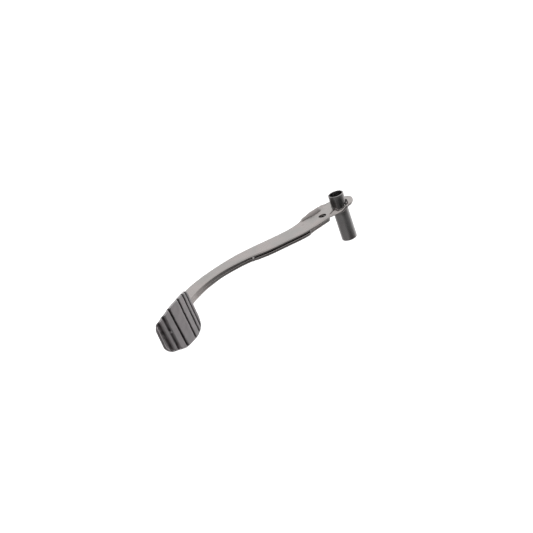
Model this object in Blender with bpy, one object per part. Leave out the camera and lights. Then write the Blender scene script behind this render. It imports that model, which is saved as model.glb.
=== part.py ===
"""Rear foot brake pedal of welded pressed steel, with its pivot bushes and collar.

Frame: +X forward, from the pivot towards the foot pad; +Y inboard, along the
pivot tube; +Z up.  The origin is on the pivot axis, in the plane of the arm's
outboard face.  Sizes are in metres (MM turns millimetres into metres).
"""
import math

import bmesh
import bpy
from mathutils import Vector

MM = 0.001

# ------------------------------------------------------------------ sizes (mm)
GAP = 0.3                    # gap between pieces that touch or are welded

SHEET = 2.6                  # sheet of the outboard shell
SHEET_INNER = 1.8            # sheet of the inboard shell
EDGE_ROUND = 1.3             # rounding of the outboard shell's edges
LIP_HEIGHT = 4.0             # full height of the stepped lower margin
BEND_SLOPE, BEND_DEPTH = 0.9, 2.4   # near side of the eye, bent inboard
ARM_SEGMENTS = 4             # loft sections between two stations

TUBE_OUTER_R = 8.8
TUBE_INNER_R = 7.5
TUBE_Y0 = -13.4              # outboard mouth
TUBE_Y1 = 42.4               # inboard end

BUSH_OUTER_R = TUBE_INNER_R - GAP
BUSH_INNER_R = 5.9
BUSH_LENGTH = 13.0
OUTER_BUSH_Y0 = -6.0
INNER_BUSH_Y1 = 41.0

COLLAR_OUTER_R = 5.6
COLLAR_BORE_R = 4.1          # clears the M8 pivot bolt
COLLAR_Y0 = -6.4
COLLAR_Y1 = 42.9

SEAL_OUTER_R = TUBE_INNER_R - GAP
SEAL_INNER_R = 5.85
SEAL_WIDTH = 1.3

ROD_HOLE = (25.6, -7.6)      # hole for the stop switch spring (x, z)
ROD_HOLE_R = 4.4

PAD_TOP_Z = -68.9            # crests of the foot pad's ribs
PAD_SHEET = 2.4
PAD_YAW = math.radians(-5.0)
PAD_CENTRE = (233.0, 11.0)

ROUND_STEPS = 48


# ------------------------------------------------------------------ arm layout
# One row for each section of the arm, from the tab behind the pivot to the nose
# under the foot pad: the lower edge and the upper edge of the outboard face
# (x, z), the arm's thickness, how deep the outboard shell's lower and upper
# flanges turn inboard, and the height of the outboard lip.
STATIONS = [
    # lower edge        upper edge       thick  f_low f_up  lip
    ((-20.0,  -5.0), (-20.0,   4.5),  7.2,  0.0,  0.0, 0.0),
    ((-17.5,  -9.5), (-17.0,   8.5),  7.2,  0.0,  0.0, 0.0),
    ((-11.0, -15.6), (-11.0,  11.6),  7.2,  0.0,  0.0, 0.0),
    (( -3.0, -20.3), ( -3.0,  12.9),  7.2,  0.0,  0.0, 0.06),
    ((  5.0, -21.9), (  6.0,   9.0),  7.2,  0.0,  0.0, 0.55),
    (( 13.0, -22.8), ( 15.0,   3.2),  7.2,  0.0,  0.0, 0.86),
    (( 22.0, -25.3), ( 24.0,   1.8),  7.2,  0.0,  0.0, 0.92),
    (( 31.0, -28.9), ( 33.5,  -1.2),  7.2,  0.0,  0.4, 0.58),
    (( 42.0, -32.2), ( 46.0,  -5.2),  7.2,  0.9,  0.9, 0.0),
    (( 56.0, -37.0), ( 62.0, -10.0),  7.2,  0.9,  0.0, 0.0),
    (( 75.0, -49.5), ( 82.0, -23.5),  7.2,  0.9,  0.0, 0.0),
    (( 92.0, -62.0), (100.0, -36.5),  7.2,  0.9,  0.0, 0.0),
    ((111.0, -74.0), (116.0, -52.5),  7.3,  0.9,  0.0, 0.0),
    ((136.0, -84.0), (140.0, -67.5),  7.8,  1.2,  1.2, 0.0),
    ((162.0, -90.5), (164.0, -74.5),  8.4,  1.5,  1.5, 0.0),
    ((185.0, -92.4), (186.0, -75.5),  8.6,  1.5,  1.5, 0.0),
    ((205.0, -89.5), (205.0, -73.3),  8.6,  1.5,  1.5, 0.0),
    ((228.0, -84.5), (228.0, -73.4),  8.6,  1.5,  1.5, 0.0),
    ((243.0, -80.0), (243.0, -74.0),  8.6,  1.5,  1.5, 0.0),
]
INNER_FIRST = 5.50           # the inboard shell starts at this station ...
NOSE_STATIONS = 1.0          # with a rounded end this many stations long ...
NOSE_FLAT = 0.36             # whose flat is this share of the arm's width ...
INNER_LAST = 17.8            # ... and ends at this one
OPEN_SEAM = (8.62, 11.72)      # stations between which the upper seam is open
SEAM_EDGE_Y = 4.0            # outboard edge of the inboard shell there
SEAM_STEP = 1.0              # how far its edge stands up there


def lerp(a, b, k):
    return a + (b - a) * k


def smooth(k):
    k = max(0.0, min(1.0, k))
    return k * k * (3.0 - 2.0 * k)


def catmull(p0, p1, p2, p3, k):
    """Catmull-Rom value between p1 and p2."""
    return 0.5 * ((2.0 * p1) + (p2 - p0) * k
                  + (2.0 * p0 - 5.0 * p1 + 4.0 * p2 - p3) * k * k
                  + (3.0 * p1 - p0 - 3.0 * p2 + p3) * k * k * k)


def station(s):
    """Section data at a fractional station number."""
    last = len(STATIONS) - 1
    s = max(0.0, min(float(last), s))
    i = min(int(s), last - 1)
    k = s - i
    rows = [STATIONS[max(0, min(last, j))] for j in (i - 1, i, i + 1, i + 2)]
    low = [catmull(*[r[0][c] for r in rows], k) for c in (0, 1)]
    up = [catmull(*[r[1][c] for r in rows], k) for c in (0, 1)]
    a, b = rows[1], rows[2]
    rest = [lerp(a[j], b[j], smooth(k)) for j in (2, 3, 4, 5)]
    return low, up, rest[0], rest[1], rest[2], rest[3]


def place(low, up, n, y):
    """Point n mm above the lower edge along the section, at depth y."""
    dx, dz = up[0] - low[0], up[1] - low[1]
    w = math.hypot(dx, dz)
    return ((low[0] + dx * n / w) * MM, y * MM, (low[1] + dz * n / w) * MM)


def bent(x, z):
    """How far inboard the eye's near side lies at a point of the plate."""
    side = smooth((math.radians(82.0) - math.atan2(z, x)) / math.radians(46.0))
    rise = max(0.0, z - 0.12 * max(0.0, x - 18.0))
    return side * min(BEND_DEPTH, BEND_SLOPE * rise) if x > 0.0 else 0.0


def bend_start(low, up, w):
    """Distance along the section at which the bend begins."""
    steps = 400
    for i in range(steps, -1, -1):
        n = w * i / steps
        x, _, z = place(low, up, n, 0.0)
        if bent(x / MM, z / MM) <= 0.0:
            return n
    return w


def place_bent(low, up, n, y):
    x, _, z = place(low, up, n, 0.0)
    return (x, (y + bent(x / MM, z / MM)) * MM, z)


# ------------------------------------------------------------- mesh and object
def clear_scene():
    for obj in list(bpy.data.objects):
        bpy.data.objects.remove(obj, do_unlink=True)


def material(name, rgb, rough, metal):
    mat = bpy.data.materials.new(name)
    mat.use_nodes = True
    bsdf = mat.node_tree.nodes["Principled BSDF"]
    bsdf.inputs["Base Color"].default_value = (*rgb, 1.0)
    bsdf.inputs["Roughness"].default_value = rough
    bsdf.inputs["Metallic"].default_value = metal
    mat.diffuse_color = (*rgb, 1.0)
    return mat


def finish_object(name, bm, mat, parent=None, smooth_deg=35.0):
    bmesh.ops.remove_doubles(bm, verts=bm.verts, dist=1e-7)
    bmesh.ops.recalc_face_normals(bm, faces=bm.faces)
    mesh = bpy.data.meshes.new(name)
    bm.to_mesh(mesh)
    bm.free()
    mesh.shade_smooth()
    mesh.set_sharp_from_angle(angle=math.radians(smooth_deg))
    mesh.materials.append(mat)
    obj = bpy.data.objects.new(name, mesh)
    bpy.context.collection.objects.link(obj)
    obj.parent = parent
    return obj


def loft(rings, caps=None):
    """Closed body through rings of equal point count, capped at both ends.

    caps splits a hollowed section's end into convex faces.
    """
    bm = bmesh.new()
    loops = [[bm.verts.new(p) for p in ring] for ring in rings]
    for a, b in zip(loops[:-1], loops[1:]):
        for i in range(len(a)):
            j = (i + 1) % len(a)
            bm.faces.new((a[i], a[j], b[j], b[i]))
    for cap in caps or [range(len(loops[0]))]:
        bm.faces.new([loops[0][i] for i in cap])
        bm.faces.new([loops[-1][i] for i in reversed(cap)])
    return bm


def turned(profile, steps=ROUND_STEPS):
    """Closed body of revolution about Y from a closed (radius, y) profile."""
    bm = bmesh.new()
    verts = [bm.verts.new((r * MM, y * MM, 0.0)) for r, y in profile]
    edges = [bm.edges.new((verts[i], verts[(i + 1) % len(verts)]))
             for i in range(len(verts))]
    bmesh.ops.spin(bm, geom=verts + edges, cent=(0, 0, 0), axis=(0, 1, 0),
                   angle=2.0 * math.pi, steps=steps, use_merge=True)
    return bm


def pin_cutter(name, x, z, radius, y0, y1, steps=ROUND_STEPS):
    """Round cutter along Y, kept out of the model."""
    bm = bmesh.new()
    bmesh.ops.create_cone(bm, cap_ends=True, segments=steps, radius1=radius * MM,
                          radius2=radius * MM, depth=(y1 - y0) * MM)
    mesh = bpy.data.meshes.new(name)
    bm.to_mesh(mesh)
    bm.free()
    obj = bpy.data.objects.new(name, mesh)
    obj.rotation_euler = (math.radians(90.0), 0.0, 0.0)
    obj.location = (x * MM, 0.5 * (y0 + y1) * MM, z * MM)
    obj.hide_render = True
    obj.display_type = "WIRE"
    bpy.context.collection.objects.link(obj)
    return obj


def cut(obj, cutter, operation="DIFFERENCE"):
    mod = obj.modifiers.new(cutter.name, "BOOLEAN")
    mod.object = cutter
    mod.operation = operation
    mod.solver = "EXACT"


# ------------------------------------------------------------------- the shells
def outer_ring(s):
    """Section of the outboard shell: web, two flanges, and the lower lip."""
    low, up, _, f_low, f_up, lip = station(s)
    w = math.hypot(up[0] - low[0], up[1] - low[1])
    t, r = SHEET, EDGE_ROUND
    f_low, f_up = max(f_low, 0.06), max(f_up, 0.06)
    if OPEN_SEAM[0] < s < OPEN_SEAM[1]:
        f_up = 0.06
    h = LIP_HEIGHT * lip
    k = smooth(h / 1.6)
    crest = 0.9
    foot = crest + 1.15 * h
    bend = bend_start(low, up, w)
    soft = smooth((s - 3.6) / 1.2) * smooth((8.7 - s) / 0.9)
    rn, ry = lerp(r, 3.6, soft), lerp(r, 2.3, soft)
    pts = [
        (w, t + f_up), (w, ry), (w - 0.12 * rn, 0.5 * ry),
        (w - 0.5 * rn, 0.12 * ry), (w - rn, 0.0), (min(bend, w - rn - 0.3), 0.0),
        (lerp(r, foot + 0.5, k), 0.0),
        (lerp(0.5 * r, foot - 0.3, k), lerp(0.12 * r, -0.15, k)),
        (lerp(0.35 * r, crest + 0.1, k), lerp(0.22 * r, -max(h - 0.25, 0.5), k)),
        (lerp(0.22 * r, crest - 0.25, k), lerp(0.35 * r, -max(h - 0.05, 0.6), k)),
        (lerp(0.12 * r, 0.3, k), lerp(0.5 * r, -max(h - 0.1, 0.6), k)),
        (0.0, lerp(r, -max(h - 0.5, 0.2), k)),
        (0.0, t + f_low), (t, t + f_low), (t + 0.12, t),
        (min(bend, w - t - 0.4), t), (w - t - 0.12, t), (w - t, t + f_up),
    ]
    return [place_bent(low, up, n, y) for n, y in pts]


OUTER_CAPS = [(17, 0, 1, 2, 3, 4, 16), (4, 5, 15, 16), (5, 6, 14, 15),
              (14, 6, 7, 8, 9, 10, 11, 12, 13)]
INNER_CAPS = [(13, 0, 1, 2, 3, 4, 12), (4, 5, 11, 12), (5, 6, 7, 8, 9, 10, 11)]


def nose_edges(s):
    """Edges of the inboard shell, drawn in at its rounded end."""
    low, up = station(s)[:2]
    k = max(0.0, min(1.0, (s - INNER_FIRST) / NOSE_STATIONS))
    full = max(NOSE_FLAT, math.sqrt(1.0 - (1.0 - k) ** 2))
    mid = [0.5 * (a + b) for a, b in zip(low, up)]
    return ([lerp(m, a, full) for m, a in zip(mid, low)],
            [lerp(m, a, full) for m, a in zip(mid, up)], k)


def inner_ring(s):
    """Section of the inboard shell: a channel whose web is inboard."""
    _, _, thick, f_low, f_up, _ = station(s)
    low, up, k = nose_edges(s)
    w = math.hypot(up[0] - low[0], up[1] - low[1])
    thick -= 1.2 * (1.0 - k) ** 3
    t, r = SHEET_INNER, 1.9
    y_low = SHEET + max(f_low, 0.06) + GAP
    y_up = SHEET + max(f_up, 0.06) + GAP
    rise = 0.0
    if OPEN_SEAM[0] < s < OPEN_SEAM[1]:
        y_up = SEAM_EDGE_Y
        rise = SEAM_STEP
    top = w + rise
    pts = [
        (top, y_up), (top, thick - r), (top - 0.12 * r, thick - 0.5 * r),
        (top - 0.5 * r, thick - 0.12 * r), (top - r, thick),
        (r, thick), (0.5 * r, thick - 0.12 * r), (0.12 * r, thick - 0.5 * r),
        (0.0, thick - r), (0.0, y_low), (t, y_low), (t + 0.3, thick - t),
        (top - t - 0.3, thick - t), (top - t, y_up),
    ]
    return [place(low, up, n, y) for n, y in pts]


def section_numbers(first, last):
    """Station numbers of the loft, with a close pair at each seam end."""
    numbers = []
    steps = int(round((last - first) * ARM_SEGMENTS))
    for i in range(steps + 1):
        numbers.append(lerp(first, last, i / steps))
    for edge in OPEN_SEAM:
        numbers += [edge - 0.004, edge + 0.004]
    if first > 0.0:
        numbers += [first + NOSE_STATIONS * k for k in (0.06, 0.13, 0.4)]
    return sorted(n for n in set(numbers)
                  if first <= n <= last and all(abs(n - e) > 1e-6 for e in OPEN_SEAM))


def build_arm(parent, steel):
    tube_clear = pin_cutter("cut_tube", 0, 0, TUBE_OUTER_R + GAP, -12, 12)
    rod_clear = pin_cutter("cut_rod_hole", ROD_HOLE[0], ROD_HOLE[1], ROD_HOLE_R,
                           -12, 20, 32)
    outer = finish_object(
        "arm_outer_shell",
        loft([outer_ring(s) for s in section_numbers(0.0, len(STATIONS) - 1.0)],
             OUTER_CAPS),
        steel, parent)
    cut(outer, tube_clear)
    cut(outer, rod_clear)
    inner = finish_object(
        "arm_inner_shell",
        loft([inner_ring(s) for s in section_numbers(INNER_FIRST, INNER_LAST)],
             INNER_CAPS),
        steel, parent)
    cut(inner, rod_clear)
    return outer, inner


# ------------------------------------------------------------------- foot pad
# Grooves across the pad, rear to front: x on the pad's middle line, half width
# and depth.  Each is deepest ahead of its middle, by GROOVE_SKEW of its half
# width, so its rear wall is the gentle one.
GROOVES = [
    (205.8, 1.0, 0.9), (210.0, 1.1, 1.2), (219.8, 1.4, 1.4),
    (236.7, 1.8, 1.9), (248.4, 2.6, 2.3), (256.9, 3.2, 2.4),
]
GROOVE_SKEW = 0.3
PAD_REAR_X = 201.5
PAD_FRONT_X = 265.5
# Outline of the pad (x, y), corners joined by a smooth closed curve.
PAD_OUTLINE = [
    (204.6, -8.6), (206.6, -12.6), (213.0, -13.5), (222.0, -12.8),
    (236.0, -11.2), (248.0, -8.8), (257.5, -7.0), (263.2, -5.2),
    (265.8, -1.5), (265.7, 4.0), (264.9, 15.0), (263.2, 22.0),
    (257.6, 29.5), (248.0, 33.5), (236.0, 37.4), (224.0, 38.4),
    (213.0, 36.4), (205.6, 31.6), (202.2, 24.0), (203.0, 8.0),
]


def pad_height(x):
    """Height of the tread above x, below the rib crests' plane."""
    drop = 0.0
    for gx, half, depth in GROOVES:
        low = gx + GROOVE_SKEW * half
        run = (low - (gx - half)) if x < low else (gx + half - low)
        d = abs(x - low) / run
        if d < 1.0:
            drop = max(drop, depth * (1.0 - smooth(d)))
    bow = 0.9 * ((x - 232.0) / 32.0) ** 2
    return PAD_TOP_Z - drop - bow


def pad_columns():
    xs = {PAD_REAR_X - 4.0, PAD_FRONT_X + 4.0, PAD_REAR_X, PAD_FRONT_X}
    for gx, half, _ in GROOVES:
        for k in (-1.0, -0.62, -0.35, -0.05, 0.3, 0.5, 0.7, 0.84, 1.0):
            xs.add(gx + k * half)
    for x in (215.5, 224.0, 228.0, 232.0, 242.5, 253.0, 262.0):
        xs.add(x)
    return sorted(xs)


def closed_spline(points, per):
    out = []
    n = len(points)
    for i in range(n):
        p = [points[(i + j - 1) % n] for j in range(4)]
        for k in range(per):
            u = k / per
            out.append(tuple(catmull(*[q[c] for q in p], u) for c in (0, 1)))
    return out


def build_pad(parent, steel):
    """Ribbed sheet, trimmed to the pad's rounded outline."""
    cols = pad_columns()
    top = [(x, pad_height(x)) for x in cols]
    under = [(x, pad_height(x) - PAD_SHEET) for x in reversed(cols)]
    ring = top + under
    rings = []
    for y in (-30.0, 60.0):
        pts = []
        for x, z in ring:
            dx, dy = x - PAD_CENTRE[0], y - PAD_CENTRE[1]
            c, s = math.cos(PAD_YAW), math.sin(PAD_YAW)
            pts.append(((PAD_CENTRE[0] + dx * c + dy * s) * MM,
                        (PAD_CENTRE[1] - dx * s + dy * c) * MM, z * MM))
        rings.append(pts)
    pad = finish_object("foot_pad", loft(rings), steel, parent, 25.0)

    bm = bmesh.new()
    outline = closed_spline(PAD_OUTLINE, 3)
    face = bm.faces.new([bm.verts.new((x * MM, y * MM, (PAD_TOP_Z - 20.0) * MM))
                         for x, y in outline])
    grown = bmesh.ops.extrude_face_region(bm, geom=[face])
    bmesh.ops.translate(bm, vec=Vector((0, 0, 40.0 * MM)),
                        verts=[v for v in grown["geom"]
                               if isinstance(v, bmesh.types.BMVert)])
    bmesh.ops.recalc_face_normals(bm, faces=bm.faces)
    mesh = bpy.data.meshes.new("trim_pad")
    bm.to_mesh(mesh)
    bm.free()
    trim = bpy.data.objects.new("trim_pad", mesh)
    trim.hide_render = True
    trim.display_type = "WIRE"
    bpy.context.collection.objects.link(trim)
    cut(pad, trim, "INTERSECT")
    return pad


# ----------------------------------------------------------- tube, bushes, seals
def build_pivot(parent_fixed, parent_moving, steel, bronze, rubber, zinc):
    chamfer = 0.9
    finish_object("pivot_tube", turned([
        (TUBE_OUTER_R, TUBE_Y0 + 0.4), (TUBE_OUTER_R, TUBE_Y1 - chamfer),
        (TUBE_OUTER_R - 0.3, TUBE_Y1 - 0.3), (TUBE_OUTER_R - chamfer, TUBE_Y1),
        (TUBE_INNER_R + 0.3, TUBE_Y1), (TUBE_INNER_R, TUBE_Y1 - 0.3),
        (TUBE_INNER_R, TUBE_Y0 + 0.3), (TUBE_INNER_R + 0.3, TUBE_Y0),
        (TUBE_OUTER_R - 0.4, TUBE_Y0),
    ]), steel, parent_moving)
    for name, y0 in (("bush_outer", OUTER_BUSH_Y0),
                     ("bush_inner", INNER_BUSH_Y1 - BUSH_LENGTH)):
        y1 = y0 + BUSH_LENGTH
        finish_object(name, turned([
            (BUSH_OUTER_R, y0 + 0.5), (BUSH_OUTER_R, y1 - 0.5),
            (BUSH_OUTER_R - 0.4, y1), (BUSH_INNER_R, y1),
            (BUSH_INNER_R, y0), (BUSH_OUTER_R - 0.4, y0),
        ]), bronze, parent_moving)
    for name, y0 in (("seal_outer", OUTER_BUSH_Y0 - GAP - SEAL_WIDTH),
                     ("seal_inner", INNER_BUSH_Y1 + GAP)):
        y1 = y0 + SEAL_WIDTH
        if name == "seal_inner":
            y1 = min(y1, TUBE_Y1 - 0.1)
        ym = 0.5 * (y0 + y1)
        finish_object(name, turned([
            (SEAL_OUTER_R, y0 + 0.3), (SEAL_OUTER_R, y1 - 0.3),
            (SEAL_OUTER_R - 0.3, y1), (SEAL_INNER_R + 0.25, y1),
            (SEAL_INNER_R, ym), (SEAL_INNER_R + 0.25, y0),
            (SEAL_OUTER_R - 0.3, y0),
        ]), rubber, parent_moving)
    finish_object("pivot_collar", turned([
        (COLLAR_OUTER_R, COLLAR_Y0 + 0.2), (COLLAR_OUTER_R, COLLAR_Y1 - 0.2),
        (COLLAR_OUTER_R - 0.2, COLLAR_Y1), (COLLAR_BORE_R, COLLAR_Y1),
        (COLLAR_BORE_R, COLLAR_Y0), (COLLAR_OUTER_R - 0.2, COLLAR_Y0),
    ]), zinc, parent_fixed)


# ------------------------------------------------------------------ weld beads
def ring_weld(name, radius, y_face, leg, outboard, parent, mat):
    """Fillet bead around the tube, on one face of the shell."""
    d = -1.0 if outboard else 1.0
    a = y_face + d * GAP
    prof = [(radius + GAP, a), (radius + GAP, a + d * leg),
            (radius + GAP + 0.45 * leg, a + d * 0.72 * leg),
            (radius + GAP + 0.78 * leg, a + d * 0.42 * leg),
            (radius + GAP + leg, a)]
    bm = turned(prof)
    for v in bm.verts:
        deep = bent(v.co.x / MM, v.co.z / MM)
        if outboard:
            deep *= 0.5
        else:
            deep += 0.9 * min(1.0, 3.0 * bent(v.co.x / MM, v.co.z / MM + SHEET))
        v.co.y += deep * MM
    return finish_object(name, bm, mat, parent)


def run_weld(name, path, across, leg, parent, mat):
    """Fillet bead along a path; across gives the two leg directions."""
    u, v = Vector(across[0]), Vector(across[1])
    rings = []
    last = len(path) - 1
    for i, p in enumerate(path):
        size = leg * (0.55 if i in (0, last) else 1.0)
        c = Vector(p)
        rings.append([tuple((c + q) * MM) for q in (
            Vector((0, 0, 0)), u * size, u * size * 0.72 + v * size * 0.42,
            u * size * 0.42 + v * size * 0.72, v * size)])
    return finish_object(name, loft(rings), mat, parent)


def nose_weld(name, leg, parent, mat):
    """Fillet bead across the inboard shell's rounded end."""
    ends = []
    for s in (INNER_FIRST + 0.10, INNER_FIRST + 0.05, INNER_FIRST):
        low, up, k = nose_edges(s)
        ends.append((low, up))
    path = [e[1] for e in ends] + [e[0] for e in reversed(ends)]
    middle = Vector((0.5 * (path[2][0] + path[3][0]) + 10.0, 0.0,
                     0.5 * (path[2][1] + path[3][1])))
    y = SHEET + 0.06 + GAP
    rings = []
    for i, (x, z) in enumerate(path):
        a = path[max(0, i - 1)]
        b = path[min(len(path) - 1, i + 1)]
        u = Vector((-(b[1] - a[1]), 0.0, b[0] - a[0])).normalized()
        c = Vector((x, 0.0, z))
        if u.dot(c - middle) < 0.0:
            u = -u
        size = leg * (0.6 if i in (0, len(path) - 1) else 1.0)
        c += u * GAP
        c.y = y
        v = Vector((0.0, 1.0, 0.0))
        rings.append([tuple((c + q) * MM) for q in (
            Vector((0, 0, 0)), u * size, u * size * 0.72 + v * size * 0.42,
            u * size * 0.42 + v * size * 0.72, v * size)])
    return finish_object(name, loft(rings), mat, parent)


def seam_strip(name, first, last, upper, parent, mat):
    """Backing bead inside the closed seam between the two shells."""
    rings = []
    steps = max(2, int(round((last - first) * 2)))
    for i in range(steps + 1):
        s = lerp(first, last, i / steps)
        low, up, thick, f_low, f_up, _ = station(s)
        w = math.hypot(up[0] - low[0], up[1] - low[1])
        f = f_up if upper else f_low
        y = SHEET + max(f, 0.06) + 0.5 * GAP
        inset = SHEET + GAP + 0.2
        sign = -1.0 if upper else 1.0
        base = (w - inset) if upper else inset
        half, deep = 0.7, 1.1
        y0 = max(y - half, SHEET + GAP)
        y1 = min(y0 + 2.0 * half, thick - SHEET_INNER - GAP)
        pts = [(base, y0), (base, y1), (base + sign * 0.7 * deep, y1 - 0.2),
               (base + sign * deep, 0.5 * (y0 + y1)),
               (base + sign * 0.7 * deep, y0 + 0.2)]
        rings.append([place(low, up, n, yy) for n, yy in pts])
    return finish_object(name, loft(rings), mat, parent)


def build_welds(parent, mat):
    beneath = PAD_TOP_Z - 5.0
    arm_thick = STATIONS[-2][2]
    xs = [209.0 + 3.0 * i for i in range(11)]
    run_weld("weld_pad_outer", [(x, -GAP, beneath) for x in xs],
             ((0, -1, 0), (0, 0, -1)), 2.6, parent, mat)
    run_weld("weld_pad_inner", [(x, arm_thick + GAP, beneath) for x in xs],
             ((0, 1, 0), (0, 0, -1)), 2.6, parent, mat)
    nose_weld("weld_shell_end", 2.0, parent, mat)
    ring_weld("weld_tube_outer", TUBE_OUTER_R, 0.0, 1.9, True, parent, mat)
    ring_weld("weld_tube_inner", TUBE_OUTER_R, SHEET, 2.2, False, parent, mat)
    seam_strip("weld_seam_upper_rear", 7.6, 8.8, True, parent, mat)
    seam_strip("weld_seam_upper_front", 12.5, 16.5, True, parent, mat)
    seam_strip("weld_seam_lower", 8.0, 16.5, False, parent, mat)


# ------------------------------------------------------------------------ main
def main():
    clear_scene()
    steel = material("plated_steel", (0.46, 0.44, 0.44), 0.34, 1.0)
    tread = material("plated_tread", (0.34, 0.33, 0.34), 0.42, 1.0)
    weld = material("plated_weld", (0.40, 0.39, 0.39), 0.45, 1.0)
    bronze = material("sintered_bronze", (0.42, 0.27, 0.13), 0.5, 1.0)
    rubber = material("black_rubber", (0.02, 0.02, 0.02), 0.7, 0.0)
    zinc = material("zinc_steel", (0.55, 0.56, 0.58), 0.4, 1.0)

    fixed = bpy.data.objects.new("fixed_on_frame", None)
    pivot = bpy.data.objects.new("pivot_axis", None)
    for empty in (fixed, pivot):
        empty.empty_display_size = 0.02
        bpy.context.collection.objects.link(empty)

    build_arm(pivot, steel)
    build_pad(pivot, tread)
    build_pivot(fixed, pivot, steel, bronze, rubber, zinc)
    build_welds(pivot, weld)


main()
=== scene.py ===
"""Looks of the rear brake pedal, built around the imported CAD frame."""
import math

import bmesh
import bpy
from mathutils import Matrix, Vector, geometry, kdtree, noise


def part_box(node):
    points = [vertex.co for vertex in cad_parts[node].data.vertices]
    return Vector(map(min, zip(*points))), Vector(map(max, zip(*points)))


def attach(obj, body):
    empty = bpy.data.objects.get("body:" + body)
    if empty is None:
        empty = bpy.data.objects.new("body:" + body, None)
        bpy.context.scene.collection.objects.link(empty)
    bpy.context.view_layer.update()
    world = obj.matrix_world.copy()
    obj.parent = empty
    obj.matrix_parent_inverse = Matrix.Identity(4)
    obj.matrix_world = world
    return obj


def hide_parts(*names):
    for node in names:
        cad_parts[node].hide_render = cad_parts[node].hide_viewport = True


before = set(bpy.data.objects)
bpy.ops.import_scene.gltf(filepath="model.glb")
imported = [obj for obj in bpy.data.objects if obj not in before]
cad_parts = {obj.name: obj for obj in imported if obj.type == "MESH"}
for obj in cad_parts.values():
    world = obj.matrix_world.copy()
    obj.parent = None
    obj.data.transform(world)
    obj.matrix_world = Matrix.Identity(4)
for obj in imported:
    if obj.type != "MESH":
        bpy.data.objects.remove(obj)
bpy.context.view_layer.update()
MM = 0.001


# ---------------------------------------------------------------- frame sizes
def mm_box(node):
    lo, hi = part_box(node)
    return [c / MM for c in lo], [c / MM for c in hi]


TUBE_LO, TUBE_HI = mm_box("pivot_tube")
TUBE_R = 0.5 * (TUBE_HI[0] - TUBE_LO[0])
TUBE_Y0, TUBE_Y1 = TUBE_LO[1], TUBE_HI[1]
TUBE_BORE = TUBE_R - 1.3
SHEET, SHEET_INNER, EDGE_ROUND, GAP = 2.6, 1.8, 1.3, 0.3
LIP_HEIGHT = 4.0
BEND_SLOPE, BEND_DEPTH = 0.9, 2.4
ROD_HOLE, ROD_HOLE_R = (25.6, -7.6), 4.4
PAD_TOP_Z, PAD_SHEET = -68.9, 2.4
PAD_YAW = math.radians(-5.0)
PAD_CENTRE = (233.0, 11.0)

# Sections of the arm: lower edge, upper edge, thickness, flange depths, lip.
STATIONS = [
    ((-20.0,  -5.0), (-20.0,   4.5),  7.2,  0.0,  0.0, 0.0),
    ((-17.5,  -9.5), (-17.0,   8.5),  7.2,  0.0,  0.0, 0.0),
    ((-11.0, -15.6), (-11.0,  11.6),  7.2,  0.0,  0.0, 0.0),
    (( -3.0, -20.3), ( -3.0,  12.9),  7.2,  0.0,  0.0, 0.06),
    ((  5.0, -21.9), (  6.0,   9.0),  7.2,  0.0,  0.0, 0.55),
    (( 13.0, -22.8), ( 15.0,   3.2),  7.2,  0.0,  0.0, 0.86),
    (( 22.0, -25.3), ( 24.0,   1.8),  7.2,  0.0,  0.0, 0.92),
    (( 31.0, -28.9), ( 33.5,  -1.2),  7.2,  0.0,  0.4, 0.58),
    (( 42.0, -32.2), ( 46.0,  -5.2),  7.2,  0.9,  0.9, 0.0),
    (( 56.0, -37.0), ( 62.0, -10.0),  7.2,  0.9,  0.0, 0.0),
    (( 75.0, -49.5), ( 82.0, -23.5),  7.2,  0.9,  0.0, 0.0),
    (( 92.0, -62.0), (100.0, -36.5),  7.2,  0.9,  0.0, 0.0),
    ((111.0, -74.0), (116.0, -52.5),  7.3,  0.9,  0.0, 0.0),
    ((136.0, -84.0), (140.0, -67.5),  7.8,  1.2,  1.2, 0.0),
    ((162.0, -90.5), (164.0, -74.5),  8.4,  1.5,  1.5, 0.0),
    ((185.0, -92.4), (186.0, -75.5),  8.6,  1.5,  1.5, 0.0),
    ((205.0, -89.5), (205.0, -73.3),  8.6,  1.5,  1.5, 0.0),
    ((228.0, -84.5), (228.0, -73.4),  8.6,  1.5,  1.5, 0.0),
    ((243.0, -80.0), (243.0, -74.0),  8.6,  1.5,  1.5, 0.0),
]
INNER_FIRST, NOSE_STATIONS, NOSE_FLAT, INNER_LAST = 5.50, 1.0, 0.36, 17.8
OPEN_SEAM = (8.62, 11.72)
SEAM_EDGE_Y, SEAM_STEP = 3.75, 1.35
ARM_SEGMENTS = 14


def lerp(a, b, k):
    return a + (b - a) * k


def smooth(k):
    k = max(0.0, min(1.0, k))
    return k * k * (3.0 - 2.0 * k)


def catmull(p0, p1, p2, p3, k):
    return 0.5 * ((2.0 * p1) + (p2 - p0) * k
                  + (2.0 * p0 - 5.0 * p1 + 4.0 * p2 - p3) * k * k
                  + (3.0 * p1 - p0 - 3.0 * p2 + p3) * k * k * k)


def station(s):
    last = len(STATIONS) - 1
    s = max(0.0, min(float(last), s))
    i = min(int(s), last - 1)
    k = s - i
    rows = [STATIONS[max(0, min(last, j))] for j in (i - 1, i, i + 1, i + 2)]
    low = [catmull(*[r[0][c] for r in rows], k) for c in (0, 1)]
    up = [catmull(*[r[1][c] for r in rows], k) for c in (0, 1)]
    a, b = rows[1], rows[2]
    rest = [lerp(a[j], b[j], smooth(k)) for j in (2, 3, 4, 5)]
    return low, up, rest[0], rest[1], rest[2], rest[3]


def place(low, up, n, y):
    dx, dz = up[0] - low[0], up[1] - low[1]
    w = math.hypot(dx, dz)
    return ((low[0] + dx * n / w) * MM, y * MM, (low[1] + dz * n / w) * MM)


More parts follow.
